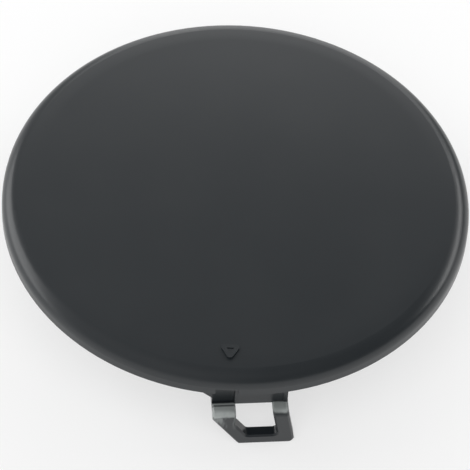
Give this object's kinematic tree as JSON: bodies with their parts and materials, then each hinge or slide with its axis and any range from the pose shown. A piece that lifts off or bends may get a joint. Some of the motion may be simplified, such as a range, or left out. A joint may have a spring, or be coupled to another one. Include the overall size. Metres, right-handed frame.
{
  "type": "tow hook cover",
  "caption": "Round snap-in cover for the tow eye hole in a car bumper, with a crowned face, a raised triangular press mark, a spring loop under the rim and snap hooks opposite.",
  "frame": {"origin": "on the axis of the cap, in the plane of the tips of the loop and hooks that it stands on", "axes": "+Z out of the face along the cap's axis, -Y towards the press mark and the spring loop"},
  "size_m": [0.065, 0.065, 0.0179],
  "materials": {
    "plastic": "satin slate grey"
  },
  "bodies": {
    "root": {"cover": "plastic"}
  },
  "joints": []
}
